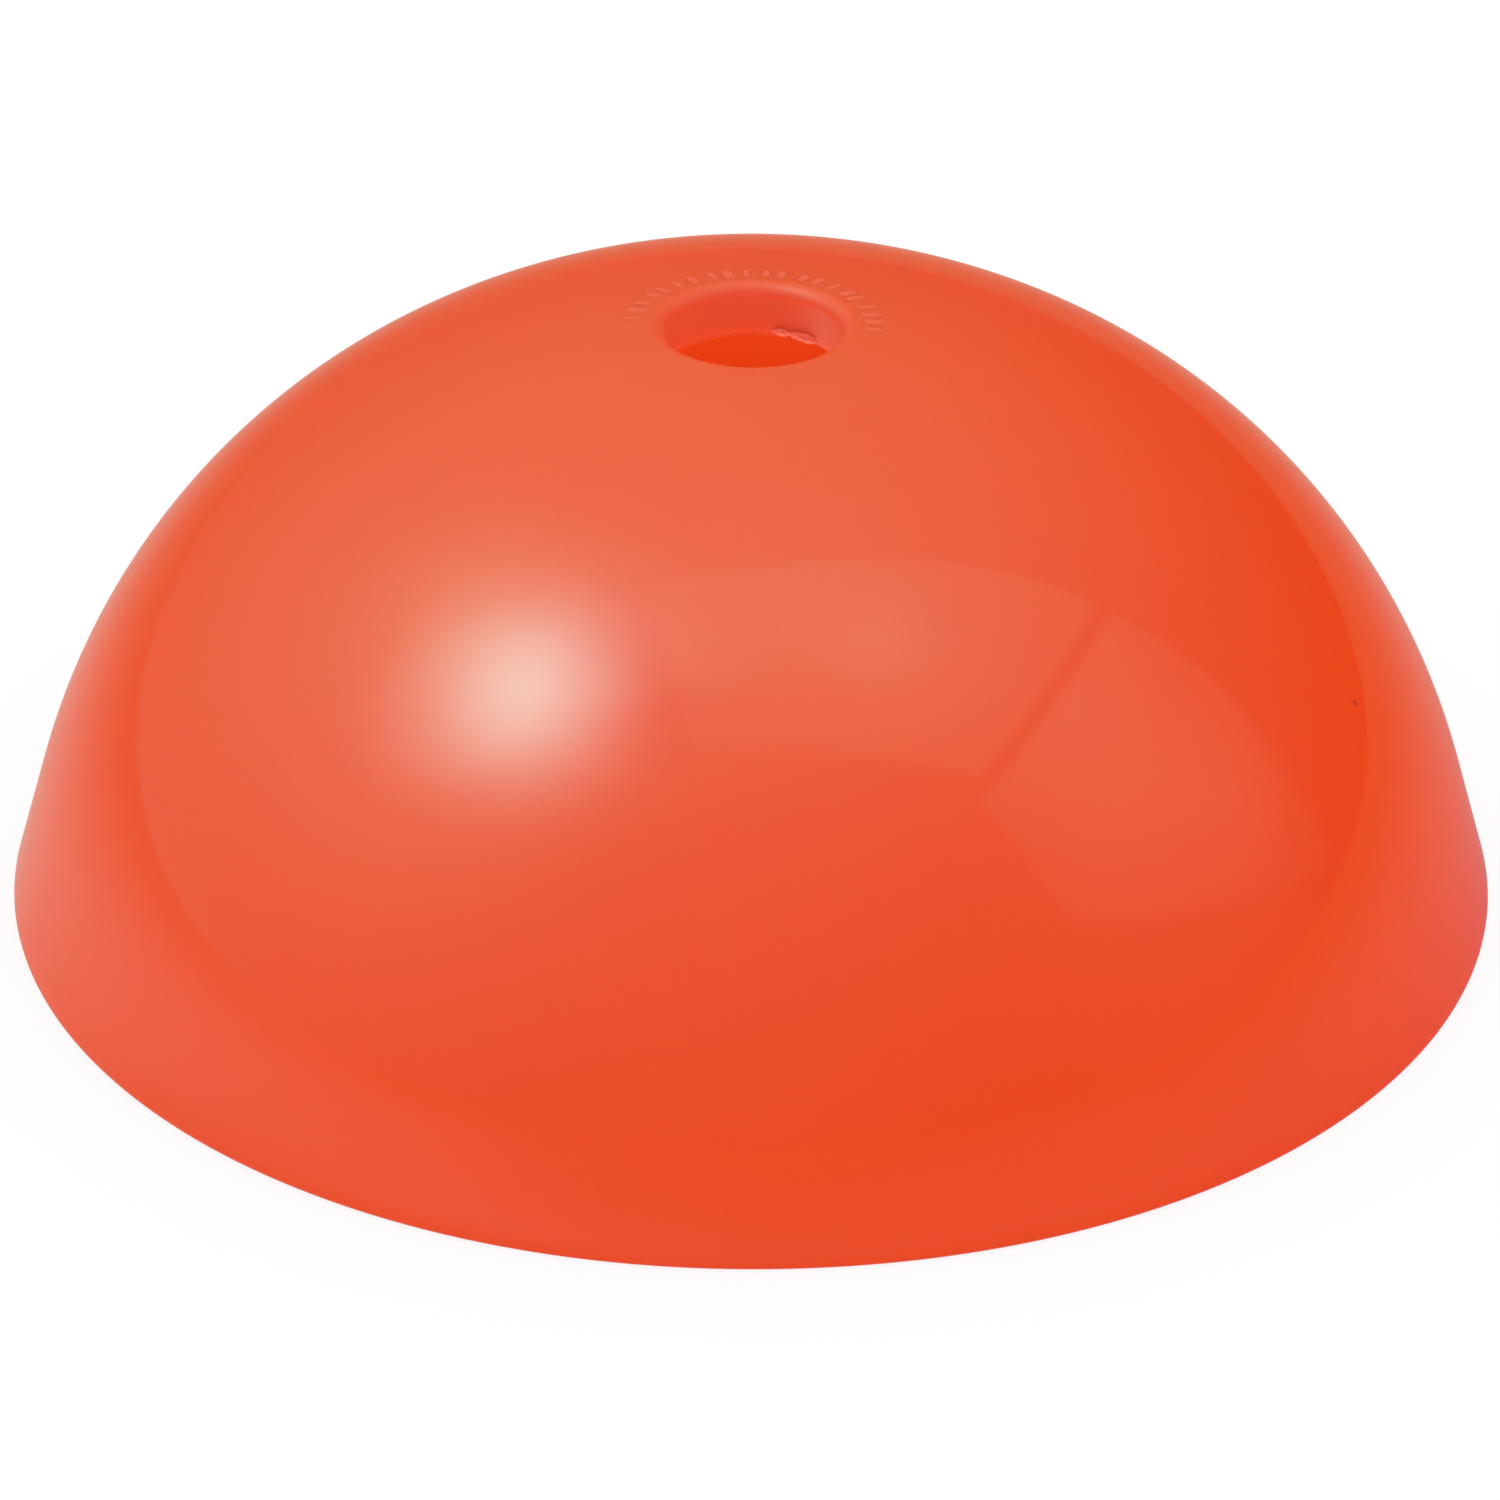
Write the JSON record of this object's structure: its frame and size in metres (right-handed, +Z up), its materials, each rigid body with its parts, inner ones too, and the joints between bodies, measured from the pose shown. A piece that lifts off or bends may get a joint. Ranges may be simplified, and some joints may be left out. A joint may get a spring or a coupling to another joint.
{
  "type": "sports marker cone",
  "caption": "Low hollow dome marker, a moulded shell open below, with a collared pole hole through its crown.",
  "frame": {"origin": "centre of the foot ring, on the ground that the dome stands on", "axes": "+Z up along the dome's axis and the pole hole; the dome is the same all round, so +X and +Y are free"},
  "size_m": [0.22, 0.22, 0.0897],
  "materials": {
    "dome_plastic": "glossy translucent moulded vermilion plastic, soft to the touch"
  },
  "bodies": {
    "root": {"dome_shell": "dome_plastic"}
  },
  "joints": []
}
